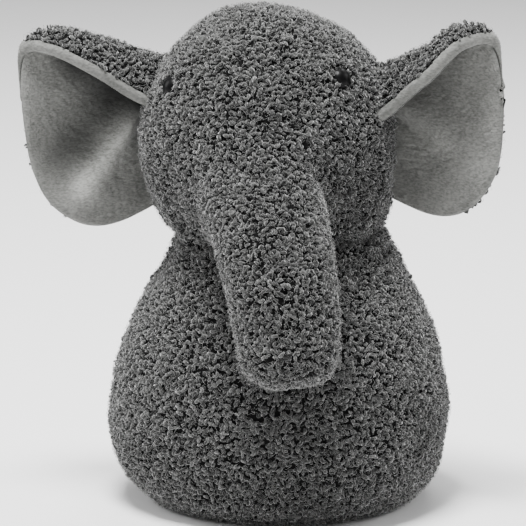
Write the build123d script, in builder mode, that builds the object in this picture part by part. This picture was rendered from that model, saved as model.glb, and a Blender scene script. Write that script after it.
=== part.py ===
from build123d import *
import os
from math import cos, sin, radians, sqrt

# Stuffed elephant: a legless, pear-shaped sitting body, a domed head with a hanging trunk and two
# big lined ears. Millimetres, +Z up, the face looks along -Y, the origin is the centre of the base.

# ---- driving dimensions -------------------------------------------------------------------------
NECK_Z = 142.0          # height of the neck seam
NECK_GAP = 0.5          # running gap between the body and the turning head
FABRIC = 4.0            # curly pile fabric, backing and pile together
BASE_R = 57.0           # flat round base panel
BASE_T = 3.0
BODY_PROFILE = [
    (59.5, 0.0), (71.0, 3.4), (80.0, 11.0), (85.6, 22.0), (88.3, 35.0), (88.8, 48.5), (87.0, 65.0),
    (83.4, 81.0), (77.8, 97.0), (69.9, 112.5), (61.8, 126.0), (56.5, 135.5), (54.4, 142.0),
]
HEAD_PROFILE = [
    (52.6, 136.0), (55.4, 142.5), (58.6, 149.0), (62.2, 160.0), (65.0, 173.0), (66.5, 186.0),
    (66.3, 199.0), (63.6, 212.5), (58.2, 225.5), (50.0, 237.2), (39.4, 247.0), (27.0, 254.2),
    (13.6, 258.2), (0.0, 259.5),
]
GUSSET_HALF = 17.0      # half width of the strip that runs from the brow over the crown to the nape

HEAD_SHIFT = -3.3       # the head sits a little to its right on the neck
FACE_YAW = -7.5         # is turned a little to its right
FACE_ROLL = -4.0        # and tilted a little, both about the middle of the neck

MUZZLE_C = (0.0, -26.0, 190.0)
MUZZLE_R = 44.0

TRUNK_P = (0.0, -50.0, 173.5)     # centre of the trunk's ball root, where the trunk bends
TRUNK_ROOT_R = 30.0
SOCKET_GAP = 0.6
TRUNK_FABRIC = 3.5
TRUNK_LINE = [
    # x, y, z, radius
    (0.0, -50.0, 173.5, 26.0), (5.5, -70.0, 164.0, 27.8), (11.5, -88.5, 147.0, 28.0),
    (15.5, -102.0, 126.5, 27.2), (17.5, -109.0, 103.0, 25.4),
]
TRUNK_LIFT_MAX = 28.0
TRUNK_LIFT_MIN = -2.0

EAR_OUTER_T = 3.2       # curly outer layer of the ear
EAR_LINING_T = 2.4      # smooth velvet layer of the ear
LAYER_GAP = 0.05        # air between the ear's two layers
EAR_HINGE = (60.0, 9.0)
EAR_FORWARD = 10.0      # degrees the ear folds forward
EAR_BACK = 32.0         # degrees the ear folds back
EAR_SWEEP = 24.0        # the ear leans forward towards its outer edge
EAR_Y = 11.0
# each ear's share of reach and height, how far it sits lower, and how far its fold dips at the head
EAR_SIZE = {"left": (0.905, 1.03, 0.9, 1.2), "right": (0.895, 0.975, 3.2, 7.2)}
EAR_ROOT_X = 56.0
EAR_LOW_Z = 146.0
# inner side of the ear: x, height of the lower edge, height of the fold, drop and depth of the fold
EAR_STATIONS = [
    (50.0, 158.0, 227.5, 22.0, 33.0), (62.0, 155.0, 231.0, 20.5, 32.0),
    (76.0, 149.0, 237.0, 17.0, 29.0), (91.0, 146.0, 242.5, 13.0, 24.0),
    (106.0, 149.5, 245.5, 9.5, 17.0), (118.0, 160.0, 243.0, 6.5, 10.5),
    (126.0, 178.0, 235.0, 4.0, 6.5),
]

EYE_X = 46.0
EYE_Z = 226.0
EYE_R = 6.2
EYE_DOME = 4.6
EYE_DEPTH = 3.9         # the eye sits this far down in the pile
EYE_STEM_R = 2.2
EYE_STEM_L = 11.0
WASHER_R = 8.0
WASHER_T = 1.6
FIT = 0.1               # clearance of the eye stems in the cloth and filling

BAG_R = 54.0
BAG_Z = (6.0, 32.0)
BAG_T = 1.0


# ---- helpers ------------------------------------------------------------------------------------
def inset(points, depth, first, last):
    """Move a profile inwards by depth along its own normals; the two ends have stated normals."""
    moved = []
    for i, (r, z) in enumerate(points):
        if i == 0:
            n_r, n_z = first
        elif i == len(points) - 1:
            n_r, n_z = last
        else:
            dr = points[i + 1][0] - points[i - 1][0]
            dz = points[i + 1][1] - points[i - 1][1]
            size = sqrt(dr * dr + dz * dz)
            n_r, n_z = dz / size, -dr / size
        moved.append((r - depth * n_r, z - depth * n_z))
    return moved


def turned(points, low):
    """Solid of revolution about Z from a side profile that runs upwards from the height low."""
    with BuildPart() as made:
        with BuildSketch(Plane.XZ):
            with BuildLine():
                top = points[-1]
                Spline(points)
                if top[0] > 0.001:
                    Line(top, (0, top[1]))
                Line((0, top[1]), (0, low))
                Line((0, low), points[0])
            make_face()
        revolve(axis=Axis.Z)
    return made.part


def turned_dome(points, low):
    """Solid of revolution whose profile ends on the axis."""
    with BuildPart() as made:
        with BuildSketch(Plane.XZ):
            with BuildLine():
                Spline(points)
                Line(points[-1], (0, low))
                Line((0, low), points[0])
            make_face()
        revolve(axis=Axis.Z)
    return made.part


def ball(centre, radius):
    return Pos(*centre) * Sphere(radius)


def box_between(low, high):
    size = [b - a for a, b in zip(low, high)]
    mid = [(a + b) / 2 for a, b in zip(low, high)]
    return Pos(*mid) * Box(*size)


def only_solid(shape):
    """The biggest solid of a cut, dropping slivers the cut may leave."""
    return max(shape.solids(), key=lambda s: s.volume)


def about(point, axis, degrees):
    """Location that turns a shape by degrees about an axis through a point."""
    return Pos(*point) * Location((0, 0, 0), axis, degrees) * Pos(*[-c for c in point])


# ---- body ---------------------------------------------------------------------------------------
body_inside = inset(BODY_PROFILE, FABRIC, (1, 0), (1, 0))
body_inside[0] = (BASE_R, BASE_T)


def half_ring():
    """Half of the body's cover, from the side seams round one face."""
    with BuildPart() as made:
        with BuildSketch(Plane.XZ):
            with BuildLine():
                Spline(BODY_PROFILE)
                Line(BODY_PROFILE[-1], body_inside[-1])
                Spline(body_inside)
                Line(body_inside[0], (BASE_R, 0))
                Line((BASE_R, 0), BODY_PROFILE[0])
            make_face()
        revolve(axis=Axis.Z, revolution_arc=180)
    return made.part


body_back_panel = half_ring()
body_front_panel = Rot(0, 0, 180) * half_ring()
if body_back_panel.center().Y < 0:
    body_back_panel, body_front_panel = body_front_panel, body_back_panel
body_inner = turned(body_inside, BASE_T)
base_panel = Pos(0, 0, BASE_T / 2) * Cylinder(BASE_R, BASE_T)


def bag_shape(cut):
    """Squat cushion of the weight bag, cut millimetres smaller all round."""
    height = BAG_Z[1] - BAG_Z[0] - 2 * cut
    edge = height / 2 - 0.4
    blank = Pos(0, 0, (BAG_Z[0] + BAG_Z[1]) / 2) * Cylinder(BAG_R - cut, height)
    return fillet(blank.edges().filter_by(GeomType.CIRCLE), edge)


pellet_bag = bag_shape(0) - bag_shape(BAG_T)
pellet_fill = bag_shape(BAG_T)
body_stuffing = body_inner - bag_shape(0)

# ---- head ---------------------------------------------------------------------------------------
LOW = NECK_Z + NECK_GAP
face = Pos(HEAD_SHIFT, 0, NECK_Z) * Rot(0, 0, FACE_YAW) * Rot(0, FACE_ROLL, 0) * Pos(0, 0, -NECK_Z)
HEAD_LOW = HEAD_PROFILE[0][1]
above_neck = box_between((-99, -99, LOW), (99, 99, 299))


def head_form(cut):
    """The domed head with its full muzzle, cut millimetres inside the cloth's outer face."""
    dome = turned_dome(inset(HEAD_PROFILE, cut, (1, 0), (0, 1)), HEAD_LOW)
    return dome + ball(MUZZLE_C, MUZZLE_R - cut)


head_outer = face * head_form(0) & above_neck
head_inner = face * head_form(FABRIC) & above_neck
socket = face * ball(TRUNK_P, TRUNK_ROOT_R + SOCKET_GAP)
head_shell = head_outer - head_inner - socket
head_stuffing = head_inner - socket


def eye_place(side):
    """Seat of one eye on the dome: local +Z points straight out of the head."""
    reach = sqrt(max(0.0, dome_radius(EYE_Z) ** 2 - EYE_X ** 2))
    point = Vector(side * EYE_X, -reach, EYE_Z)
    normal = Vector(side * EYE_X, -reach, 30.0).normalized()
    return face * Location(Plane(origin=point - normal * EYE_DEPTH, z_dir=normal))


def dome_radius(height):
    """Radius of the head's dome at a height, read from its profile."""
    for (r0, z0), (r1, z1) in zip(HEAD_PROFILE, HEAD_PROFILE[1:]):
        if z0 <= height <= z1:
            return r0 + (r1 - r0) * (height - z0) / (z1 - z0)
    return HEAD_PROFILE[0][0]


def eye_solid(grow):
    """Domed button eye and its plain stem, pointing along +Z from the cloth."""
    squash = (EYE_R ** 2 + EYE_DOME ** 2) / (2 * EYE_DOME)
    cap = Pos(0, 0, EYE_DOME - squash) * Sphere(squash + grow)
    cap = cap & Pos(0, 0, 10 - grow) * Cylinder(EYE_R + grow, 20)
    stem = Pos(0, 0, -EYE_STEM_L / 2) * Cylinder(EYE_STEM_R + grow, EYE_STEM_L + 2 * grow)
    return cap + stem


def washer_solid(bore, grow):
    """Locking washer that grips the stem behind the cloth."""
    middle = EYE_DEPTH - FABRIC - 1.0 - WASHER_T / 2
    disc = Pos(0, 0, middle) * Cylinder(WASHER_R + grow, WASHER_T + 2 * grow)
    return disc - Pos(0, 0, middle) * Cylinder(bore, 3 * WASHER_T)


eyes = {}
washers = {}
for name, side in (("left", -1), ("right", 1)):
    seat = eye_place(side)
    eyes[name] = seat * eye_solid(0)
    washers[name] = seat * washer_solid(EYE_STEM_R + FIT, 0)
    head_shell = head_shell - seat * eye_solid(FIT)
    head_stuffing = head_stuffing - seat * eye_solid(FIT) - seat * washer_solid(0.5, FIT)
    head_shell = head_shell - seat * washer_solid(0.5, FIT)

strip = face * box_between((-GUSSET_HALF, -120, 100), (GUSSET_HALF, 120, 320))
left_side = face * box_between((-140, -120, 100), (-GUSSET_HALF, 120, 320))
right_side = face * box_between((GUSSET_HALF, -120, 100), (140, 120, 320))
head_centre_gusset = only_solid(head_shell & strip)
head_left_panel = only_solid(head_shell & left_side)
head_right_panel = only_solid(head_shell & right_side)
head_stuffing = only_solid(head_stuffing)


# ---- trunk --------------------------------------------------------------------------------------
def trunk_solid(cut):
    """Tapering bent tube with a ball root and a round tip, cut millimetres inside the surface."""
    sections = []
    for i, (x, y, z, r) in enumerate(TRUNK_LINE):
        a = TRUNK_LINE[max(i - 1, 0)]
        b = TRUNK_LINE[min(i + 1, len(TRUNK_LINE) - 1)]
        along = Vector(b[0] - a[0], b[1] - a[1], b[2] - a[2]).normalized()
        plane = Plane(origin=(x, y, z), x_dir=(1, 0, 0), z_dir=along)
        sections.append(plane * Circle(r - cut))
    tube = loft(sections)
    tip = TRUNK_LINE[-1]
    end = ball(tip[:3], tip[3] - cut + 0.2)
    return tube + end + ball(TRUNK_P, TRUNK_ROOT_R - cut)


def lifted(shape, degrees):
    """The shape as the trunk meets it after the trunk has been lifted by degrees."""
    return about(TRUNK_P, (1, 0, 0), degrees) * shape


def keep_clear(shape, turn, angles):
    """Union of an obstacle as seen from a moving part, at each of the part's angles."""
    total = None
    for angle in angles:
        seen = turn(shape, angle)
        total = seen if total is None else total + seen
    return total


# obstacles of the trunk, in the frame of the face, a little fatter than the cloth
CLEAR = 1.2
back_to_face = face.inverse()
fat_body = turned(inset(BODY_PROFILE, -CLEAR, (1, 0), (1, 0)), 0.0)
fat_body = fat_body + Pos(0, 0, NECK_Z - 10) * Cylinder(BODY_PROFILE[-1][0] + CLEAR, 20 + 2 * CLEAR)
root_zone = ball(TRUNK_P, TRUNK_ROOT_R)
fat_head = head_form(-CLEAR)
trunk_cut = keep_clear(fat_head, lifted, (0, TRUNK_LIFT_MAX, TRUNK_LIFT_MIN)) - root_zone
trunk_cut = trunk_cut + keep_clear(back_to_face * fat_body, lifted, (0, TRUNK_LIFT_MIN))

trunk_outer = only_solid(trunk_solid(0) - trunk_cut)
trunk_inner = only_solid(trunk_solid(TRUNK_FABRIC) & trunk_outer)


def trunk_under_zone():
    """Everything behind and below the trunk's centre line."""
    line = [(y, z) for (_, y, z, _) in TRUNK_LINE]
    start = (line[0][0] + 60, line[0][1] + 22)
    finish = (line[-1][0] - 4, line[-1][1] - 50)
    with BuildPart() as zone:
        with BuildSketch(Plane.YZ):
            with BuildLine():
                Line(start, line[0])
                Spline(line, tangents=[(-0.9, -0.42), (-0.12, -1)])
                Line(line[-1], finish)
                Line(finish, (60, finish[1]))
                Line((60, finish[1]), start)
            make_face()
        extrude(amount=80, both=True)
    return zone.part


under = trunk_under_zone()
trunk_shell = trunk_outer - trunk_inner
trunk_underside_panel = face * only_solid(trunk_shell & under)
trunk_upper_panel = face * only_solid(trunk_shell - under)
trunk_stuffing = face * trunk_inner


# ---- ears ---------------------------------------------------------------------------------------
def ear_curve(station, size, out):
    """Section of the ear, out millimetres behind its lining: up the wall, over the fold, to the rim."""
    x, low, high, drop, deep = station
    x = EAR_ROOT_X + (x - EAR_ROOT_X) * size[0]
    low = EAR_LOW_Z - size[2] + (low - EAR_LOW_Z) * size[1]
    high = EAR_LOW_Z - size[2] + (high - EAR_LOW_Z) * size[1]
    high -= size[3] * min(1.0, max(0.0, (106.0 - x) / 18.0))
    y = EAR_Y - (x - EAR_HINGE[0]) * sin(radians(EAR_SWEEP)) / cos(radians(EAR_SWEEP))
    tall = high - low
    points = [
        (y - 5.0, low), (y - 1.2, low + 0.22 * tall), (y + 1.6, low + 0.5 * tall),
        (y + 2.0, low + 0.78 * tall), (y - 0.9, high - 5.5), (y - 0.36 * deep - 1.5, high),
        (y - 0.78 * deep, high - 0.42 * drop), (y - deep, high - drop),
    ]
    moved = []
    for i, (py, pz) in enumerate(points):
        a = points[max(i - 1, 0)]
        b = points[min(i + 1, len(points) - 1)]
        size = sqrt((b[0] - a[0]) ** 2 + (b[1] - a[1]) ** 2)
        n_y, n_z = (b[1] - a[1]) / size, -(b[0] - a[0]) / size
        moved.append((x, py + out * n_y, pz + out * n_z))
    return moved


def ear_layer(size, outside, inside):
    """Curved layer of the ear between two distances from the face of its lining."""
    faces = []
    for station in EAR_STATIONS:
        a = ear_curve(station, size, outside)
        b = ear_curve(station, size, inside)
        back = Edge.make_spline([Vector(*p) for p in a])
        front = Edge.make_spline([Vector(*p) for p in b])
        foot = Edge.make_line(Vector(*a[0]), Vector(*b[0]))
        rim = Edge.make_line(Vector(*a[-1]), Vector(*b[-1]))
        faces.append(Face(Wire([back, rim, front, foot])))
    return loft(faces)


def right_turn(shape, degrees):
    """The shape as the right ear meets it after the ear has folded by degrees."""
    return about((EAR_HINGE[0], EAR_HINGE[1], 195), (0, 0, 1), degrees) * shape


def left_turn(shape, degrees):
    """The shape as the left ear meets it after the ear has folded by degrees."""
    return about((-EAR_HINGE[0], EAR_HINGE[1], 195), (0, 0, 1), -degrees) * shape


EAR_ANGLES = (0, EAR_FORWARD, -EAR_BACK / 2, -EAR_BACK)
right_cut = keep_clear(fat_head, right_turn, EAR_ANGLES)
left_cut = keep_clear(fat_head, left_turn, EAR_ANGLES)
ears = {}
for layer, outside, inside in (
    ("outer", EAR_LINING_T + EAR_OUTER_T, EAR_LINING_T + LAYER_GAP), ("lining", EAR_LINING_T, 0.0),
):
    right = ear_layer(EAR_SIZE["right"], outside, inside)
    left = mirror(ear_layer(EAR_SIZE["left"], outside, inside), about=Plane.YZ)
    ears["ear_right_" + layer] = face * only_solid(right - right_cut)
    ears["ear_left_" + layer] = face * only_solid(left - left_cut)

# ---- output -------------------------------------------------------------------------------------
nodes = {
    "body_front_panel": body_front_panel,
    "body_back_panel": body_back_panel,
    "base_panel": base_panel,
    "body_stuffing": body_stuffing,
    "pellet_bag": pellet_bag,
    "pellet_fill": pellet_fill,
    "head_left_panel": head_left_panel,
    "head_right_panel": head_right_panel,
    "head_centre_gusset": head_centre_gusset,
    "head_stuffing": head_stuffing,
    "trunk_upper_panel": trunk_upper_panel,
    "trunk_underside_panel": trunk_underside_panel,
    "trunk_stuffing": trunk_stuffing,
    "eye_left": eyes["left"],
    "eye_right": eyes["right"],
    "eye_washer_left": washers["left"],
    "eye_washer_right": washers["right"],
}
nodes.update(ears)

os.makedirs("parts", exist_ok=True)
for name, shape in nodes.items():
    shape.label = name
    export_step(shape, "parts/" + name + ".step")
    print(name, round(shape.volume / 1000, 2), "cm3", len(shape.solids()), "solid(s)")
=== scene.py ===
import math
import bpy
import numpy as np
import openvdb
from mathutils import Matrix, Vector, kdtree

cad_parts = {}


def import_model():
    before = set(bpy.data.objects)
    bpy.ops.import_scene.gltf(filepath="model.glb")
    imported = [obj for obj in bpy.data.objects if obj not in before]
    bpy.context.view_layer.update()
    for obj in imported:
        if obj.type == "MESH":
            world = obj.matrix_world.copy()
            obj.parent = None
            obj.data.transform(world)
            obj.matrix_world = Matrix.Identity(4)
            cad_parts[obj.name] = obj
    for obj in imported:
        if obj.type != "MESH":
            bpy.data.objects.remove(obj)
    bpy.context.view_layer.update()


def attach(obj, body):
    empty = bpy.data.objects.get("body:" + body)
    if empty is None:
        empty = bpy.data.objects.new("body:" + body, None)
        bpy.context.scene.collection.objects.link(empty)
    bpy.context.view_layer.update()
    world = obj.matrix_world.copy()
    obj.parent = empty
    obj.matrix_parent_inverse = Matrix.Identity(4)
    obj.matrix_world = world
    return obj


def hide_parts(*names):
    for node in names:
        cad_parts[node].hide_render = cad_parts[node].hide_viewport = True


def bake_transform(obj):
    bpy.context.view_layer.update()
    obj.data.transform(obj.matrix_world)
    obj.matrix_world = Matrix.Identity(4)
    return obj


# Stuffed elephant: pear-shaped body, domed head, hanging trunk, two lined ears, all in curly pile
# cloth. Work is done in millimetres and scaled to metres when a mesh is made.

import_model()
MM = 0.001

# ---- proportions, as in the solid model ---------------------------------------------------------
NECK_Z = 142.0
HEAD_SHIFT = -3.3
YAW, ROLL = math.radians(-7.5), math.radians(-4.0)
BODY_PROFILE = [
    (59.5, 0.0), (71.0, 3.4), (80.0, 11.0), (85.6, 22.0), (88.3, 35.0), (88.8, 48.5), (87.0, 65.0),
    (83.4, 81.0), (77.8, 97.0), (69.9, 112.5), (61.8, 126.0), (56.5, 135.5), (54.4, 142.0),
]
HEAD_PROFILE = [            # the head below its ball
    (52.6, 136.0), (55.4, 142.5), (58.6, 149.0), (62.2, 160.0), (65.0, 173.0), (66.5, 186.0),
    (66.3, 199.0), (63.6, 212.5),
]
TRUNK = [
    (0.0, -14.0, 210.5, 44.0), (0.0, -28.0, 199.0, 41.5), (0.5, -46.0, 181.0, 36.4),
    (3.0, -62.0, 168.5, 32.0), (6.5, -74.0, 160.0, 30.2), (11.5, -89.0, 146.0, 29.0),
    (15.5, -102.0, 126.5, 27.8), (17.5, -109.0, 103.0, 26.0),
]
TRUNK_END = ((0.05, -0.10, -0.99), 24.0, 13.0)     # way the tip faces, its reach, its rounding
BALL_Z, BALL_R = 193.0, 66.5                       # the round upper part of the head
EYE_X, EYE_Z = 46.0, 226.0
EYE_Y = math.sqrt(BALL_R ** 2 - (EYE_Z - BALL_Z) ** 2 - EYE_X ** 2)
EAR_HINGE_X, EAR_Y, EAR_SWEEP = 60.0, 11.0, 24.0
EAR_ROOT_X, EAR_LOW_Z = 56.0, 146.0
# each ear's share of reach and height, how far it sits lower, and how far its fold dips at the head
EAR_SIZE = {"left": (0.95, 1.03, 0.9, 1.2), "right": (0.925, 0.98, 3.6, 7.2)}

FACE = (
    Matrix.Translation((HEAD_SHIFT, 0, NECK_Z)) @ Matrix.Rotation(YAW, 4, "Z")
    @ Matrix.Rotation(ROLL, 4, "Y") @ Matrix.Translation((0, 0, -NECK_Z))
)
FACE_M = np.array(FACE)
FACE_INV = np.array(FACE.inverted())


def move(m, pts):
    return pts @ m[:3, :3].T + m[:3, 3]


def smoothstep(a, b, x):
    t = np.clip((x - a) / (b - a), 0.0, 1.0)
    return t * t * (3.0 - 2.0 * t)


# ---- small smooth noise -------------------------------------------------------------------------
def waves(seed, count, low, high):
    """Random plane waves whose wavelengths lie between low and high millimetres."""
    rng = np.random.default_rng(seed)
    d = rng.normal(size=(count, 3))
    d /= np.linalg.norm(d, axis=1, keepdims=True)
    k = 2 * math.pi / rng.uniform(low, high, size=(count, 1))
    return d * k, rng.uniform(0, 2 * math.pi, size=count)


def noise(pts, seed, low, high, count=24):
    k, phase = waves(seed, count, low, high)
    total = np.zeros(len(pts))
    for i in range(count):
        total += np.sin(pts @ k[i] + phase[i])
    return total / math.sqrt(count / 2.0)


# ---- meshes -------------------------------------------------------------------------------------
def make_mesh(name, verts, quads, material, uv=None):
    """Mesh object from millimetre points and quads."""
    verts = np.ascontiguousarray(verts, dtype=np.float32) * MM
    quads = np.ascontiguousarray(quads, dtype=np.int32)
    me = bpy.data.meshes.new(name)
    me.vertices.add(len(verts))
    me.vertices.foreach_set("co", verts.ravel())
    me.loops.add(quads.size)
    me.loops.foreach_set("vertex_index", quads.ravel())
    me.polygons.add(len(quads))
    me.polygons.foreach_set("loop_start", np.arange(0, quads.size, quads.shape[1], dtype=np.int32))
    me.polygons.foreach_set("use_smooth", np.ones(len(quads), dtype=bool))
    me.update(calc_edges=True)
    me.validate()
    if uv is not None:
        layer = me.uv_layers.new(name="OFBake")
        corners = np.ascontiguousarray(uv[quads.ravel()], dtype=np.float32)
        layer.data.foreach_set("uv", corners.ravel())
    materials = material if isinstance(material, (list, tuple)) else [material]
    for m in materials:
        me.materials.append(m)
    obj = bpy.data.objects.new(name, me)
    bpy.context.scene.collection.objects.link(obj)
    return obj


def grid_quads(rows, cols, wrap=False):
    """Quads of a rows by cols grid of points, wrapping round in the columns if asked."""
    r = np.arange(rows - 1)[:, None]
    c = np.arange(cols if wrap else cols - 1)[None, :]
    n = (c + 1) % cols
    q = np.stack([r * cols + c, r * cols + n, (r + 1) * cols + n, (r + 1) * cols + c], axis=-1)
    return q.reshape(-1, 4)


def vertex_normals(verts, quads):
    a = verts[quads[:, 2]] - verts[quads[:, 0]]
    b = verts[quads[:, 3]] - verts[quads[:, 1]]
    f = np.cross(a, b)
    n = np.zeros_like(verts)
    for k in range(4):
        np.add.at(n, quads[:, k], f)
    return n / np.maximum(np.linalg.norm(n, axis=1, keepdims=True), 1e-9)


# ---- materials ----------------------------------------------------------------------------------
def cloth(name, colour, rough=0.9, sheen=0.5, sheen_rough=0.45):
    """Plain fibre material."""
    mat = bpy.data.materials.new(name)
    mat.use_nodes = True
    p = mat.node_tree.nodes["Principled BSDF"]
    p.inputs["Base Color"].default_value = (*colour, 1)
    p.inputs["Roughness"].default_value = rough
    p.inputs["Specular IOR Level"].default_value = 0.35
    p.inputs["Sheen Weight"].default_value = sheen
    p.inputs["Sheen Roughness"].default_value = sheen_rough
    p.inputs["Sheen Tint"].default_value = (1, 1, 1, 1)
    return mat


# Five shades of one yarn, given out by height in the pile and at random: darker low down as painted
# shade between the curls, paler at the top as painted light.
CURL = [
    cloth("curl_root", (0.009, 0.0091, 0.0088), sheen=0.5),
    cloth("curl_dark", (0.020, 0.0203, 0.0196), sheen=0.6),
    cloth("curl_mid", (0.035, 0.0355, 0.0342), sheen=0.7),
    cloth("curl_light", (0.057, 0.0577, 0.0556), sheen=0.8),
    cloth("curl_tip", (0.088, 0.0890, 0.0858), sheen=0.9),
    # painted highlight: the fibres round each curl are paler than the yarn so that they read as
    # glints
    cloth("curl_fibre", (0.18, 0.181, 0.175), sheen=0.6, rough=0.55),
]
FIBRE_INDEX = 5
# painted shade: the backing is near black so that the gaps between the curls read as shadowed
BACKING_PAINTED_SHADE = cloth("pile_backing_painted_shade", (0.004, 0.004, 0.004), sheen=0.0)
BACKING_PAINTED_SHADE.node_tree.nodes["Principled BSDF"].inputs["Specular IOR Level"].default_value = 0.08
# painted sheen: the stray fibres are paler than the yarn so that the pile lightens towards its
# outline
FLYAWAY = cloth("flyaway_fibre", (0.17, 0.171, 0.166), sheen=0.6, rough=0.6)


def weave_material():
    """Plain woven cotton of the base: warp and weft threads about a millimetre apart."""
    mat = cloth("base_cloth", (0.02, 0.02, 0.021), sheen=0.3)
    nodes, links = mat.node_tree.nodes, mat.node_tree.links
    p = nodes["Principled BSDF"]
    coord = nodes.new("ShaderNodeTexCoord")
    threads = []
    for direction in ("X", "Y"):
        wave = nodes.new("ShaderNodeTexWave")
        wave.bands_direction = direction
        wave.inputs["Scale"].default_value = 300.0
        wave.inputs["Distortion"].default_value = 0.8
        wave.inputs["Detail Scale"].default_value = 1.5
        links.new(coord.outputs["Object"], wave.inputs["Vector"])
        threads.append(wave)
    cross = nodes.new("ShaderNodeMath")
    cross.operation = "MAXIMUM"
    links.new(threads[0].outputs["Fac"], cross.inputs[0])
    links.new(threads[1].outputs["Fac"], cross.inputs[1])
    ramp = nodes.new("ShaderNodeValToRGB")
    ramp.color_ramp.elements[0].color = (0.010, 0.010, 0.0105, 1)
    ramp.color_ramp.elements[1].color = (0.030, 0.030, 0.031, 1)
    bump = nodes.new("ShaderNodeBump")
    bump.inputs["Strength"].default_value = 0.5
    bump.inputs["Distance"].default_value = 0.0003
    links.new(cross.outputs[0], ramp.inputs["Fac"])
    links.new(cross.outputs[0], bump.inputs["Height"])
    links.new(ramp.outputs["Color"], p.inputs["Base Color"])
    links.new(bump.outputs["Normal"], p.inputs["Normal"])
    return mat


BASE_CLOTH = weave_material()


def velvet_material():
    """Short dense velvet pile: fine streaky grain that leans this way and that, its colour
    multiplied by the painted light and shade of the lining's colour attribute.
    """
    mat = cloth("velvet", (0.2, 0.202, 0.192), rough=0.85, sheen=0.35, sheen_rough=0.4)
    nodes, links = mat.node_tree.nodes, mat.node_tree.links
    p = nodes["Principled BSDF"]
    coord = nodes.new("ShaderNodeTexCoord")
    squash = nodes.new("ShaderNodeMapping")
    squash.inputs["Scale"].default_value = (0.6, 0.6, 1.3)
    big = nodes.new("ShaderNodeTexNoise")
    big.inputs["Scale"].default_value = 90.0
    big.inputs["Detail"].default_value = 3.0
    fine = nodes.new("ShaderNodeTexNoise")
    fine.inputs["Scale"].default_value = 980.0
    fine.inputs["Detail"].default_value = 2.0
    mix = nodes.new("ShaderNodeMath")
    mix.operation = "MULTIPLY_ADD"
    mix.inputs[1].default_value = 0.5
    ramp = nodes.new("ShaderNodeValToRGB")
    ramp.color_ramp.elements[0].position = 0.5
    ramp.color_ramp.elements[0].color = (0.100, 0.101, 0.095, 1)
    ramp.color_ramp.elements[1].position = 0.95
    ramp.color_ramp.elements[1].color = (0.200, 0.202, 0.191, 1)
    bump = nodes.new("ShaderNodeBump")
    bump.inputs["Strength"].default_value = 0.6
    bump.inputs["Distance"].default_value = 0.0004
    links.new(coord.outputs["Object"], squash.inputs["Vector"])
    links.new(coord.outputs["Object"], big.inputs["Vector"])
    links.new(squash.outputs["Vector"], fine.inputs["Vector"])
    links.new(big.outputs["Fac"], mix.inputs[0])
    links.new(fine.outputs["Fac"], mix.inputs[2])
    links.new(mix.outputs[0], ramp.inputs["Fac"])
    # painted light and shade, kept per point on the lining, darkens or lightens the grain's colour
    painted_light_and_shade = nodes.new("ShaderNodeVertexColor")
    painted_light_and_shade.layer_name = "painted_light_and_shade"
    lay = nodes.new("ShaderNodeMix")
    lay.data_type = "RGBA"
    lay.blend_type = "MULTIPLY"
    lay.inputs[0].default_value = 1.0
    links.new(ramp.outputs["Color"], lay.inputs[6])
    links.new(painted_light_and_shade.outputs["Color"], lay.inputs[7])
    links.new(lay.outputs[2], p.inputs["Base Color"])
    links.new(fine.outputs["Fac"], bump.inputs["Height"])
    links.new(bump.outputs["Normal"], p.inputs["Normal"])
    return mat


VELVET = velvet_material()


def eye_material():
    """Black glossy plastic, rubbed a little dull in places."""
    mat = bpy.data.materials.new("eye_black")
    mat.use_nodes = True
    nodes, links = mat.node_tree.nodes, mat.node_tree.links
    p = nodes["Principled BSDF"]
    p.inputs["Base Color"].default_value = (0.002, 0.002, 0.0022, 1)
    p.inputs["Specular IOR Level"].default_value = 0.12
    wear = nodes.new("ShaderNodeTexNoise")
    wear.inputs["Scale"].default_value = 700.0
    spread = nodes.new("ShaderNodeMapRange")
    spread.inputs["To Min"].default_value = 0.28
    spread.inputs["To Max"].default_value = 0.42
    coord = nodes.new("ShaderNodeTexCoord")
    links.new(coord.outputs["Object"], wear.inputs["Vector"])
    links.new(wear.outputs["Fac"], spread.inputs["Value"])
    links.new(spread.outputs["Result"], p.inputs["Roughness"])
    return mat


EYE = eye_material()


# ---- pile ---------------------------------------------------------------------------------------
def scatter(verts, quads, spacing, seed, keep=None):
    """Evenly spaced random points on a surface, with the surface's normals."""
    rng = np.random.default_rng(seed)
    a, b, c, d = (verts[quads[:, k]] for k in range(4))
    area = 0.5 * np.linalg.norm(np.cross(c - a, d - b), axis=1)
    normals = vertex_normals(verts, quads)
    count = int(area.sum() / (spacing * spacing) * 3.2)
    pick = rng.choice(len(quads), size=count, p=area / area.sum())
    u, v = rng.random((count, 1)), rng.random((count, 1))
    weights = [(1 - u) * (1 - v), u * (1 - v), u * v, (1 - u) * v]
    p = sum(w * verts[quads[pick, k]] for k, w in enumerate(weights))
    n = sum(w * normals[quads[pick, k]] for k, w in enumerate(weights))
    n /= np.linalg.norm(n, axis=1, keepdims=True)
    if keep is not None:
        ok = keep(p)
        p, n = p[ok], n[ok]
    cell = {}
    chosen = []
    inv = 1.0 / spacing
    keys = np.floor(p * inv).astype(int)
    limit = (spacing * 0.86) ** 2
    near = [(i, j, k) for i in (-1, 0, 1) for j in (-1, 0, 1) for k in (-1, 0, 1)]
    plist = p.tolist()
    for index, (kx, ky, kz) in enumerate(keys.tolist()):
        x, y, z = plist[index]
        clear = True
        for i, j, k in near:
            for q in cell.get((kx + i, ky + j, kz + k), ()):
                dx, dy, dz = q[0] - x, q[1] - y, q[2] - z
                if dx * dx + dy * dy + dz * dz < limit:
                    clear = False
                    break
            if not clear:
                break
        if clear:
            cell.setdefault((kx, ky, kz), []).append((x, y, z))
            chosen.append(index)
    return p[chosen], n[chosen]


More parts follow.
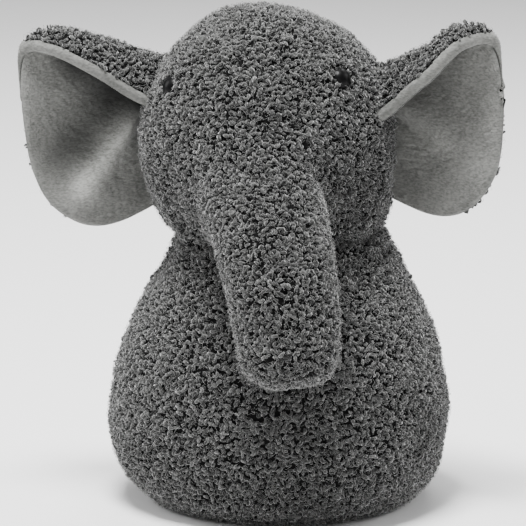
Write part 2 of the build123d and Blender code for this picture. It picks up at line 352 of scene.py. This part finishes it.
def tubes(path, side, other, rho, sides):
    """Round tubes about many paths: points, and the quads of one tube."""
    rings = path.shape[1]
    verts = []
    for k in range(sides):
        a = 2 * math.pi * k / sides
        verts.append(path + rho[..., None] * (math.cos(a) * side + math.sin(a) * other))
    return np.stack(verts, axis=2), grid_quads(rings, sides, wrap=True)


def many(one, count, points):
    """The quads of one tube repeated for count tubes that have points vertices each."""
    return (one[None] + (np.arange(count) * points)[:, None, None]).reshape(-1, 4)


def frames(path, up):
    """Sideways directions along many paths."""
    tangent = np.gradient(path, axis=1)
    tangent /= np.maximum(np.linalg.norm(tangent, axis=2, keepdims=True), 1e-9)
    side = up - tangent * np.sum(up * tangent, axis=2, keepdims=True)
    side /= np.maximum(np.linalg.norm(side, axis=2, keepdims=True), 1e-9)
    return side, np.cross(tangent, side)


CURL_R, YARN_R = 1.1, 0.66      # radius of a curl's loop and of its yarn
CURL_LIFT = 0.1                 # a curl that lies flat is about this far off the backing
CURL_TALL = 2.3                 # height in the pile at which a curl is painted palest: painted shade lower down, painted light at the top
CURL_SIDES, CURL_RINGS = 5, 9
STRANDS = 2                     # fibres that wind round a curl, at most
STRAND_R, STRAND_RINGS = 0.085, 6


def curl_arrays(p, n, seed):
    """Short loops of fluffy yarn standing on or lying over the surface, with fibres round them."""
    rng = np.random.default_rng(seed)
    count = len(p)
    t = np.cross(n, rng.normal(size=(count, 3)))
    t /= np.linalg.norm(t, axis=1, keepdims=True)
    lean = np.radians(rng.uniform(15, 88, size=(count, 1)))
    axis = n * np.cos(lean) + t * np.sin(lean)
    e1 = np.cross(axis, n)
    size = np.linalg.norm(e1, axis=1, keepdims=True)
    e1 = np.where(size > 0.05, e1 / np.maximum(size, 1e-6), np.cross(axis, t + 0.01))
    e1 /= np.linalg.norm(e1, axis=1, keepdims=True)
    e2 = np.cross(axis, e1)
    radius = CURL_R * rng.uniform(0.7, 1.3, size=(count, 1))
    turn = 2 * math.pi * rng.uniform(0.8, 1.35, size=(count, 1))
    start = rng.uniform(0, 2 * math.pi, size=(count, 1))
    pitch = rng.uniform(0.4, 2.0, size=(count, 1)) * rng.choice([-1, 1], size=(count, 1))
    thick = YARN_R * rng.uniform(0.75, 1.25, size=(count, 1))
    height = CURL_LIFT + radius * 0.6 * np.sin(lean) + 0.35 * rng.normal(size=(count, 1))
    s = np.linspace(0, 1, CURL_RINGS)[None, :]
    angle = start + turn * s
    r = radius * (0.72 + 0.38 * s) * (1 + 0.12 * np.sin(3 * angle + start))
    centre = (p + n * height)[:, None, :]
    path = centre + r[..., None] * (
        np.cos(angle)[..., None] * e1[:, None, :] + np.sin(angle)[..., None] * e2[:, None, :]
    )
    path += axis[:, None, :] * (pitch * (s - 0.5))[..., None]
    path += 0.07 * rng.normal(size=path.shape)
    side, other = frames(path, axis[:, None, :])
    knob = 1 + 0.16 * np.sin(2 * math.pi * 3.2 * s + start * 5)
    knob = knob + 0.13 * rng.normal(size=(count, CURL_RINGS))
    taper = np.clip(np.minimum(s, 1 - s) * 5 + 0.25, 0.25, 1.0)
    rho = thick * knob * taper
    verts, one = tubes(path, side, other, rho, CURL_SIDES)
    verts = verts + 0.05 * rng.normal(size=verts.shape)
    # Painted shade and light: faces low in the pile take the darker materials and faces high up the
    # paler ones, on top of a random tone per curl and per face.
    above = np.sum((verts - p[:, None, None, :]) * n[:, None, None, :], axis=3)
    level = np.clip(above[:, :-1, :] / CURL_TALL, 0, 1).reshape(count, -1)
    tone_and_painted_shade = 0.35 + 2.75 * level + 0.5 * rng.normal(size=(count, 1))
    tone_and_painted_shade = tone_and_painted_shade + 0.55 * rng.normal(size=level.shape)
    shade = np.clip(np.floor(tone_and_painted_shade), 0, 4).astype(np.int32).ravel()
    parts = [(verts.reshape(-1, 3), many(one, count, CURL_RINGS * CURL_SIDES), shade)]
    take = np.round(np.linspace(0, CURL_RINGS - 1, STRAND_RINGS)).astype(int)
    for k in range(STRANDS):
        some = np.arange(count) if k == 0 else np.flatnonzero(rng.random(count) < 0.6)
        phase = rng.uniform(0, 2 * math.pi, size=(len(some), 1))
        wind = phase + rng.uniform(-5, 5, size=(len(some), 1)) * s[:, take]
        off = rho[some][:, take] + rng.uniform(0.02, 0.5, size=(len(some), 1))
        line = path[some][:, take] + off[..., None] * (
            np.cos(wind)[..., None] * side[some][:, take]
            + np.sin(wind)[..., None] * other[some][:, take]
        )
        a, b = frames(line, n[some][:, None, :])
        thin = np.full(line.shape[:2], STRAND_R) * rng.uniform(0.7, 1.3, size=(len(some), 1))
        v, one = tubes(line, a, b, thin, 3)
        q = many(one, len(some), STRAND_RINGS * 3)
        parts.append((v.reshape(-1, 3), q, np.full(len(q), FIBRE_INDEX, np.int32)))
    base = 0
    out_v, out_q, out_s = [], [], []
    for v, q, m in parts:
        out_v.append(v)
        out_q.append(q + base)
        out_s.append(m)
        base += len(v)
    return np.vstack(out_v), np.vstack(out_q), np.concatenate(out_s)


FIBRE_LENGTH, FIBRE_R, FIBRE_RINGS = 3.0, 0.062, 6


def fibre_arrays(p, n, seed):
    """Fine loops of single fibres that bow out of the pile."""
    rng = np.random.default_rng(seed)
    count = len(p)
    t = np.cross(n, rng.normal(size=(count, 3)))
    t /= np.linalg.norm(t, axis=1, keepdims=True)
    b = np.cross(n, t)
    s = np.linspace(0, 1, FIBRE_RINGS)[None, :, None]
    reach = FIBRE_LENGTH * rng.uniform(0.5, 1.2, size=(count, 1, 1))
    rise = rng.uniform(1.5, 2.7, size=(count, 1, 1))
    wave = rng.uniform(-0.8, 0.8, size=(count, 1, 1))
    path = p[:, None, :] + n[:, None, :] * (0.6 + rise * np.sin(math.pi * (0.15 + 0.75 * s)))
    path = path + t[:, None, :] * reach * (s - 0.5) + b[:, None, :] * wave * np.sin(2 * math.pi * s)
    tangent = np.gradient(path, axis=1)
    tangent /= np.maximum(np.linalg.norm(tangent, axis=2, keepdims=True), 1e-9)
    side = np.cross(tangent, n[:, None, :] + 0.01)
    side /= np.maximum(np.linalg.norm(side, axis=2, keepdims=True), 1e-9)
    verts, one = tubes(path, side, np.cross(tangent, side), np.full(path.shape[:2], FIBRE_R), 3)
    return verts.reshape(-1, 3), many(one, count, FIBRE_RINGS * 3)


CURL_SPACING = 2.32     # from curl to curl
FIBRE_SPACING = 2.05    # from stray fibre to stray fibre
PIECE_CURLS = 1400      # curls in one mesh at most
PIECE_FIBRES = 6000     # stray fibres in one mesh at most
PRESSED_Z = 0.8         # pile lower than this is squeezed


def pressed_by_floor(v):
    """Pile at the very bottom is squeezed flat by what the toy stands on."""
    z = v[:, 2]
    squeezed = PRESSED_Z * np.exp(np.minimum(z, PRESSED_Z) / PRESSED_Z - 1.0)
    v[:, 2] = np.where(z < PRESSED_Z, squeezed, z)
    return v


def add_pile(name, verts, quads, place, seed, keep=None):
    """Curly pile over a surface, in pieces of at most PIECE_CURLS curls and PIECE_FIBRES stray
    fibres each. Curly pile over a surface, in pieces of a size that stays exact when it is
    saved.
    """
    p, n = scatter(verts, quads, CURL_SPACING, seed, keep)
    order = np.argsort(p[:, 2] + 0.001 * p[:, 0], kind="stable")
    p, n = p[order], n[order]
    pieces = max(1, math.ceil(len(p) / PIECE_CURLS))
    for i, chosen in enumerate(np.array_split(np.arange(len(p)), pieces)):
        v, q, shade = curl_arrays(p[chosen], n[chosen], seed + 11 * i)
        obj = make_mesh(f"{name}_pile_{i + 1:02d}", pressed_by_floor(v), q, CURL)
        obj.data.polygons.foreach_set("material_index", shade)
        place(obj)
    p, n = scatter(verts, quads, FIBRE_SPACING, seed + 3, keep)
    order = np.argsort(p[:, 2], kind="stable")
    pieces = max(1, math.ceil(len(p) / PIECE_FIBRES))
    for i, chosen in enumerate(np.array_split(order, pieces)):
        v, q = fibre_arrays(p[chosen], n[chosen], seed + 5 + i)
        obj = make_mesh(f"{name}_flyaway_{i + 1:02d}", pressed_by_floor(v), q, FLYAWAY)
        place(obj)


# ---- body ---------------------------------------------------------------------------------------
def curve_through(points, count):
    """Even samples of a smooth curve through points."""
    pts = np.array(points, float)
    ext = np.vstack([2 * pts[0] - pts[1], pts, 2 * pts[-1] - pts[-2]])
    out = []
    for i in range(1, len(ext) - 2):
        p0, p1, p2, p3 = ext[i - 1:i + 3]
        for t in np.linspace(0, 1, 24, endpoint=False):
            out.append(0.5 * (
                2 * p1 + (p2 - p0) * t + (2 * p0 - 5 * p1 + 4 * p2 - p3) * t * t
                + (3 * p1 - p0 - 3 * p2 + p3) * t ** 3
            ))
    out.append(ext[-2])
    out = np.array(out)
    step = np.r_[0, np.cumsum(np.linalg.norm(np.diff(out, axis=0), axis=1))]
    want = np.linspace(0, step[-1], count)
    return np.stack([np.interp(want, step, out[:, k]) for k in range(pts.shape[1])], axis=1)


SKIN_IN = 2.1           # the backing lies this far inside the toy's outer face
PILE_LOW_Z = 1.6        # no curl is rooted lower, where the base panel is sewn in


def body_surface():
    """Cover of the body, with a shallow crease along the side seams."""
    cols = 240
    profile = [(52.0, 0.25)] + BODY_PROFILE[:-1] + [(56.0, 139.2), (52.5, 142.6), (46.0, 143.4)]
    line = curve_through(profile, 150)
    angle = np.linspace(0, 2 * math.pi, cols, endpoint=False)
    r = line[:, 0][:, None] * np.ones(cols)[None, :]
    z = line[:, 1][:, None] * np.ones(cols)[None, :]
    pts = np.stack([r * np.cos(angle), r * np.sin(angle), z], axis=-1).reshape(-1, 3)
    quads = grid_quads(len(line), cols, wrap=True)
    n = vertex_normals(pts, quads)
    rise = smoothstep(2, 22, pts[:, 2]) * (1 - 0.6 * smoothstep(125, 142, pts[:, 2]))
    soft = 1.0 * noise(pts, 3, 60, 130) + 0.45 * noise(pts, 4, 22, 40)
    seam = np.exp(-((pts[:, 1] / 2.2) ** 2)) * 1.3
    pts = pts + n * ((soft * rise) - seam * rise - SKIN_IN * smoothstep(0.4, 6, pts[:, 2]))[:, None]
    return pts, quads


def ride_on(body):
    def place(obj):
        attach(obj, body)
    return place


body_v, body_q = body_surface()
body_skin = make_mesh("body_cover", body_v, body_q, BACKING_PAINTED_SHADE)
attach(body_skin, "body")
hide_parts("body_front_panel", "body_back_panel", "body_stuffing", "pellet_bag",
            "pellet_fill")
add_pile("body", body_v, body_q, ride_on("body"), 100, keep=lambda p: p[:, 2] > PILE_LOW_Z)


# ---- head and trunk -----------------------------------------------------------------------------
TRUNK_JOIN = 12.0                       # rounding where the trunk leaves the head
EYE_RING = (1.2, 8.0, 3.0)              # swell round each eye: height, distance, width
EYE_PIT_R, EYE_PIT_SOFT = 4.2, 3.0      # the hollow that each eye lies in
EYE_GAP = ((1.25, 1.0, 0.66), 4.5)      # bare patch in the pile: narrow, upright
FIELD_STEP = 1.5
FIELD_LOW, FIELD_HIGH = np.array((-76.0, -140.0, 78.0)), np.array((76.0, 76.0, 272.0))


def profile_radius(profile, z):
    line = curve_through(profile, 200)
    return np.interp(z, line[:, 1], line[:, 0])


def smooth_union(a, b, k):
    """Smaller of two distances, rounded over k where they meet."""
    h = np.clip(0.5 + 0.5 * (b - a) / k, 0, 1)
    return b * (1 - h) + a * h - k * h * (1 - h)


def round_cones(p, chain):
    """Distance to a chain of balls joined by cones."""
    best = np.full(p.shape[:-1], 1e9)
    for (x0, y0, z0, r0), (x1, y1, z1, r1) in zip(chain, chain[1:]):
        a, b = np.array((x0, y0, z0)), np.array((x1, y1, z1))
        ab = b - a
        t = np.clip(((p - a) @ ab) / (ab @ ab), 0, 1)
        d = np.linalg.norm(p - (a + t[..., None] * ab), axis=-1) - (r0 + (r1 - r0) * t)
        best = np.minimum(best, d)
    return best


def head_field(p, inset):
    """Signed distance to the head and trunk, in the frame of the face."""
    z = p[..., 2]
    flat = np.linalg.norm(p[..., :2], axis=-1)
    upper = np.sqrt(flat ** 2 + (z - BALL_Z) ** 2) - BALL_R
    lower = (flat - profile_radius(HEAD_PROFILE, np.clip(z, 136, 200))) * 0.97
    mix = smoothstep(188, 198, z)
    dome = lower * (1 - mix) + upper * mix
    trunk = round_cones(p, TRUNK)
    tip = np.array(TRUNK[-1][:3]) - p
    facing, reach, rounding = TRUNK_END
    end = -tip @ np.array(facing) - reach
    trunk = np.where(end > -rounding, -smooth_union(-trunk, -end, rounding), trunk)
    d = smooth_union(dome, trunk, TRUNK_JOIN)
    for side in (-1, 1):
        eye = np.array((side * EYE_X, -EYE_Y, EYE_Z))
        away = np.linalg.norm(p - eye, axis=-1)
        height, place, width = EYE_RING
        d = d - height * np.exp(-(((away - place) / width) ** 2))
        d = -smooth_union(-d, away - EYE_PIT_R, EYE_PIT_SOFT)
    return d + inset + 0.5 * smoothstep(225, 250, z)


def world_z_of(p):
    return p @ FACE_M[2, :3] + FACE_M[2, 3]


def head_surface():
    """Cover of head and trunk, closed flat at the neck, in the frame of the face."""
    low, step = FIELD_LOW, FIELD_STEP
    shape = np.ceil((FIELD_HIGH - low) / step).astype(int)
    values = np.empty(shape, np.float32)
    ys = low[1] + step * np.arange(shape[1])
    zs = low[2] + step * np.arange(shape[2])
    for i in range(shape[0]):
        gx = np.full((shape[1], shape[2]), low[0] + step * i)
        gy, gz = np.meshgrid(ys, zs, indexing="ij")
        pts = np.stack([gx, gy, gz], axis=-1)
        d = head_field(pts, SKIN_IN)
        floor = (NECK_Z + 0.4) - world_z_of(pts)
        near_neck = np.linalg.norm(pts[..., :2], axis=-1) < 66
        cut = -smooth_union(-d, -floor, 6.0)
        values[i] = np.where(near_neck & (pts[..., 1] > -60), cut, d)
    grid = openvdb.FloatGrid()
    grid.copyFromArray(values)
    pts, quads = grid.convertToQuads(isovalue=0.0)
    pts = np.array(pts, float) * step + low
    quads = np.array(quads, int)
    n = vertex_normals(pts, quads)
    centre = np.array((0, 0, 200.0))
    if np.mean(np.sum(n * (pts - centre), axis=1)) < 0:
        quads = quads[:, ::-1]
        n = -n
    soft = 0.8 * noise(pts, 13, 50, 100) + 0.45 * noise(pts, 14, 18, 36)
    pts = pts + n * soft[:, None]
    return pts, quads


def trunk_blend(obj):
    """Bakes the object's placement into its points, so it stays where it is."""
    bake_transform(obj)


head_v, head_q = head_surface()
head_v = move(FACE_M, head_v)
head_skin = make_mesh("head_and_trunk_cover", head_v, head_q, BACKING_PAINTED_SHADE)
trunk_blend(head_skin)
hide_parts("head_left_panel", "head_right_panel", "head_centre_gusset", "head_stuffing",
            "trunk_upper_panel", "trunk_underside_panel", "trunk_stuffing", "eye_washer_left",
            "eye_washer_right")


def clear_of_eyes(p):
    """Where pile grows on the head: not over the eyes, and not on the neck's flat end."""
    local = move(FACE_INV, p)
    ok = np.ones(len(p), bool)
    squash, radius = EYE_GAP
    for side in (-1, 1):
        eye = np.array((side * EYE_X, -EYE_Y + 1.5, EYE_Z))
        away = (local - eye) * np.array(squash)
        ok &= np.linalg.norm(away, axis=1) > radius
    on_trunk = local[:, 1] < -62
    return ok & ((p[:, 2] > NECK_Z + 1.2) | on_trunk)


add_pile("head", head_v, head_q, trunk_blend, 300, keep=clear_of_eyes)

# ---- eyes and base panel ------------------------------------------------------------------------
for name, material in (("eye_left", EYE), ("eye_right", EYE), ("base_panel", BASE_CLOTH)):
    node = bpy.data.objects.get(name)
    node.data.materials.clear()
    node.data.materials.append(material)


# ---- ears ---------------------------------------------------------------------------------------
EAR_ROWS, EAR_COLS = 150, 230           # points outward, points from the lower edge to the rim
EAR_HALF, EAR_ROUND = 3.0, 4.0          # half the ear's thickness, and how wide its edge is rounded
# widths of the painted highlight along the crest and of the painted shade along the trough
CREST_WIDTH, TROUGH_WIDTH = 7.0, 12.0
# along the ear outward: x, lower edge, top of the fold, drop of the rim below it, depth of the fold
EAR = [
    (52.0, 160.5, 231.0, 22.0, 33.0), (60.0, 158.5, 233.5, 21.0, 32.5),
    (70.0, 154.5, 237.5, 19.0, 31.0), (81.0, 150.8, 242.5, 16.2, 28.0),
    (92.0, 149.5, 246.3, 13.4, 24.0), (102.0, 151.6, 248.8, 11.4, 19.0),
    (111.0, 157.0, 249.2, 9.0, 12.8), (118.5, 164.5, 247.8, 6.2, 7.0),
    (124.0, 174.5, 244.0, 3.6, 3.0), (127.3, 188.0, 237.5, 1.8, 1.0),
    (128.8, 203.0, 228.0, 0.7, 0.2), (129.0, 215.0, 217.0, 0.1, 0.05),
]


def ear_lean(z):
    """The ear curls forward along its lower edge."""
    return -5.0 * (1 - smoothstep(146.0, 180.0, z)) + 2.0 * smoothstep(160.0, 205.0, z)


def ear_grid(rows, cols, size, folds):
    """Middle surface of one ear in the frame of the face, for the side on +X."""
    stations = curve_through(EAR, rows)
    reach, height, lower, most_dip = size
    pts = np.zeros((rows, cols, 3))
    shade = np.zeros((rows, cols))
    for i, (x, low, high, drop, deep) in enumerate(stations):
        x = EAR_ROOT_X + (x - EAR_ROOT_X) * reach
        dip = most_dip * (1 - smoothstep(86.0, 108.0, x))
        dip = dip * (1 + 0.25 * np.clip((90 - x) / 25, 0, 1))
        low = EAR_LOW_Z - lower + (low - EAR_LOW_Z) * height
        high = EAR_LOW_Z - lower + (high - EAR_LOW_Z) * height - dip
        y = EAR_Y - (x - EAR_HINGE_X) * math.tan(math.radians(EAR_SWEEP))
        tall = high - low
        body = min(1.0, tall / 60.0)
        turn = min(1.0, deep / 12.0)
        top = high - 5.5 * body
        section = [(y + ear_lean(low + k * tall), low + k * tall) for k in (0.0, 0.22, 0.5, 0.78)]
        for z, part in ((high, 0.36), (high - 0.42 * drop, 0.78), (high - drop, 1.0)):
            section.append((y + ear_lean(z) - part * deep - 1.4 * turn, z))
        section.insert(4, (y + ear_lean(top) - 2.4 * turn, top))
        line = curve_through(section, cols)
        pts[i, :, 0] = x
        pts[i, :, 1:] = line
        # painted shadow under the fold: full at and above the rim's height, fading out further below
        # it, and only where the fold is deep
        below = (high - drop) - line[:, 1]
        shade[i] = (1 - smoothstep(0.0, deep + 12.0, below)) * smoothstep(4.0, 20.0, deep)
    flat = pts.reshape(-1, 3)
    n = vertex_normals(flat, grid_quads(rows, cols)).reshape(rows, cols, 3)
    if n[rows // 3, cols // 3, 1] < 0:
        n = -n
    wall = 1 - smoothstep(0.60, 0.76, np.linspace(0, 1, cols))[None, :]
    pts = pts + n * (folds(pts) * wall)[..., None]
    return pts, n, shade


def from_line(pts, a, b):
    """Distance from the line a to b, given in side and height, and how far along it."""
    a, b = np.array(a, float), np.array(b, float)
    d = b - a
    q = pts[..., (0, 2)] - a
    t = np.clip((q @ d) / (d @ d), 0, 1)
    return np.linalg.norm(q - t[..., None] * d, axis=-1), t


def ridge(pts, a, b, width, height):
    """Soft straight fold on the ear from a to b in side and height, positive towards the back."""
    away, t = from_line(pts, a, b)
    spread = width * (0.55 + 0.75 * t)
    return height * np.exp(-((away / spread) ** 2)) * (1 - 0.75 * t * t)


def left_folds(pts):
    total = ridge(pts, (70, 208), (102, 164), 8.0, -9.0)
    total += ridge(pts, (78, 222), (114, 184), 12.0, 8.5)
    total += ridge(pts, (60, 176), (82, 150), 7.0, 2.4)
    return total + 0.5 * noise(pts.reshape(-1, 3), 31, 24, 50).reshape(pts.shape[:-1])


def right_folds(pts):
    total = ridge(pts, (62, 196), (88, 184), 4.5, 3.6)
    total += ridge(pts, (62, 206), (108, 190), 9.0, -4.0)
    total += ridge(pts, (64, 222), (104, 214), 10.0, 4.0)
    total += ridge(pts, (64, 180), (108, 164), 10.0, -2.2)
    return total + 0.5 * noise(pts.reshape(-1, 3), 33, 24, 50).reshape(pts.shape[:-1])


def away_from(pts, line):
    """Distance from each point to a line of points, which is sampled finely first."""
    a, b = line[:-1], line[1:]
    dense = np.vstack([a + (b - a) * t for t in np.linspace(0, 1, 6, endpoint=False)] + [line[-1:]])
    tree = kdtree.KDTree(len(dense))
    for i, q in enumerate(dense.tolist()):
        tree.insert(q, i)
    tree.balance()
    flat = pts.reshape(-1, 3).tolist()
    return np.array([tree.find(q)[2] for q in flat]).reshape(pts.shape[:-1])


def ear_meshes(name, side, folds, seed, crest, trough, hollow):
    """Lining and back of one ear.

    Painted light and shade on the lining: a painted highlight along the crest, painted shade along
    the trough and a painted shadow under the fold.
    """
    rows, cols = EAR_ROWS, EAR_COLS
    mid, n, shade = ear_grid(rows, cols, EAR_SIZE[name], folds)
    rim = mid[:, -1]
    edge = away_from(mid, np.vstack([mid[:, 0], rim, mid[-1]]))
    to_rim = away_from(mid, rim)
    r = np.clip(edge / EAR_ROUND, 0, 1)
    half = EAR_HALF * np.sqrt(np.clip(1 - (1 - r) ** 2, 0, 1)) + 0.01
    front = mid - n * half[..., None]
    back = mid + n * half[..., None]
    wrap = 1.2 + 4.2 * np.exp(-((to_rim / 12.0) ** 2))
    lined = edge < wrap
    quads = grid_quads(rows, cols)
    total = rows * cols
    verts = np.vstack([front.reshape(-1, 3), back.reshape(-1, 3)])
    lined_q = lined.reshape(-1)[quads].all(axis=1)
    lining_quads = np.vstack([quads[:, ::-1], quads[lined_q] + total])
    back_quads = quads + total
    grain = 0.10 * noise(verts, seed + 1, 0.9, 1.8, 40) + 0.10 * noise(verts, seed + 2, 2.2, 5.0, 30)
    nn = np.vstack([-n.reshape(-1, 3), n.reshape(-1, 3)])
    off_edge = np.tile(smoothstep(0.0, 2.0, edge).reshape(-1), 2)
    lining_v = verts + nn * (grain * off_edge)[:, None]
    lining_v[total:] += nn[total:] * (0.45 * off_edge[total:])[:, None]
    uu, vv = np.meshgrid(np.linspace(0.01, 0.99, rows), np.linspace(0.01, 0.49, cols), indexing="ij")
    uv = np.vstack([np.stack([uu, v], -1).reshape(-1, 2) for v in (vv, vv + 0.5)])
    back_v = verts - nn * 0.5

    def world(points):
        points = points.copy()
        points[:, 0] *= side
        return move(FACE_M, points)

    flip = slice(None) if side > 0 else slice(None, None, -1)
    lining_quads = lining_quads[:, flip]
    lining = make_mesh(f"ear_{name}_lining_cover", world(lining_v), lining_quads, VELVET, uv)
    (crest_from, crest_to, paler), (trough_from, trough_to, darker) = crest, trough
    # painted highlight along the crest, painted shade along the trough, and painted shadow under the
    # fold
    glow = paler * np.exp(-((from_line(mid, crest_from, crest_to)[0] / CREST_WIDTH) ** 2))
    dull = darker * np.exp(-((from_line(mid, trough_from, trough_to)[0] / TROUGH_WIDTH) ** 2))
    painted_light_and_shade = (1 - hollow * shade * smoothstep(5.0, 12.0, to_rim)) * (1 + glow) * (1 - dull)
    painted_light_and_shade = np.tile(painted_light_and_shade.reshape(-1), 2)
    layer = lining.data.color_attributes.new("painted_light_and_shade", "FLOAT_COLOR", "POINT")
    layer.data.foreach_set("color", np.repeat(painted_light_and_shade[:, None], 4, axis=1).astype(np.float32).ravel())
    outer = make_mesh(f"ear_{name}_back_cover", world(back_v), back_quads[:, flip], BACKING_PAINTED_SHADE)
    covered = np.r_[np.ones(total, bool), lined.reshape(-1)]
    bare = back_quads[:, flip][~covered[back_quads].any(axis=1)]
    return lining, outer, world(back_v), bare


def ear_blend():
    """Placing for the ear's covers and pile: each object's placement is baked into its points."""
    def place(obj):
        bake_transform(obj)
    return place


# side, folds, seed, then the painted highlight along the crest and the painted shade along the
# trough as from, to and strength, then the strength of the painted shadow in the hollow under the
# fold
EARS = {
    "left": (-1, left_folds, 500, ((74, 203), (98, 170), 1.3), ((80, 216), (110, 187), 0.50), 0.92),
    "right": (1, right_folds, 700, ((66, 190), (92, 182), 0.75), ((64, 204), (96, 196), 0.03), 0.28),
}
for name, (side, folds, seed, crest, trough, hollow) in EARS.items():
    lining, outer, back_v, back_q = ear_meshes(name, side, folds, seed, crest, trough, hollow)
    place = ear_blend()
    place(lining)
    place(outer)
    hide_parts(f"ear_{name}_lining")
    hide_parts(f"ear_{name}_outer")
    add_pile(f"ear_{name}", back_v, back_q, place, seed + 20)

# ---- stage, light, camera -----------------------------------------------------------------------
world = bpy.data.worlds.new("studio")
world.use_nodes = True
world.node_tree.nodes["Background"].inputs["Color"].default_value = (1, 1, 1, 1)
world.node_tree.nodes["Background"].inputs["Strength"].default_value = 0.3
bpy.context.scene.world = world

FLOOR_Z = -0.0006        # clear of the lowest pile
floor_mat = cloth("floor", (0.93, 0.93, 0.93), sheen=0.0)
bpy.ops.mesh.primitive_plane_add(size=6.0, location=(0, 0, FLOOR_Z))
floor = bpy.context.object
floor.name = "floor"
floor.data.materials.append(floor_mat)


def soft_light(name, place, target, size, power):
    data = bpy.data.lights.new(name, "AREA")
    data.shape = "RECTANGLE"
    data.size, data.size_y = size
    data.energy = power
    obj = bpy.data.objects.new(name, data)
    bpy.context.scene.collection.objects.link(obj)
    obj.location = place
    obj.rotation_euler = (Vector(target) - Vector(place)).to_track_quat("-Z", "Y").to_euler()
    return obj


lights = [
    soft_light("key", (-0.2, -0.26, 1.6), (0, 0, 0.15), (0.55, 0.5), 67.0),
    soft_light("front", (0.1, -1.7, 0.75), (0, 0, 0.14), (0.8, 0.6), 2.6),
    soft_light("left_side", (-1.3, 0.2, 0.8), (0, 0, 0.16), (0.7, 0.9), 13.0),
    soft_light("right_side", (1.3, 0.2, 0.8), (0, 0, 0.16), (0.7, 0.9), 10.0),
    soft_light("back", (0.2, 1.1, 1.2), (0, 0, 0.18), (0.9, 0.6), 14.0),
]

cam_data = bpy.data.cameras.new("camera")
cam = bpy.data.objects.new("camera", cam_data)
bpy.context.scene.collection.objects.link(cam)
TILT = math.radians(12.0)
DISTANCE = 2.2
aim = Vector((-0.0098, 0.0, 0.1235))
cam.location = aim + Vector((0, -math.cos(TILT), math.sin(TILT))) * DISTANCE
cam.rotation_euler = (aim - cam.location).to_track_quat("-Z", "Y").to_euler()
cam_data.sensor_width = 36.0
cam_data.lens = 289.0
bpy.context.scene.camera = cam
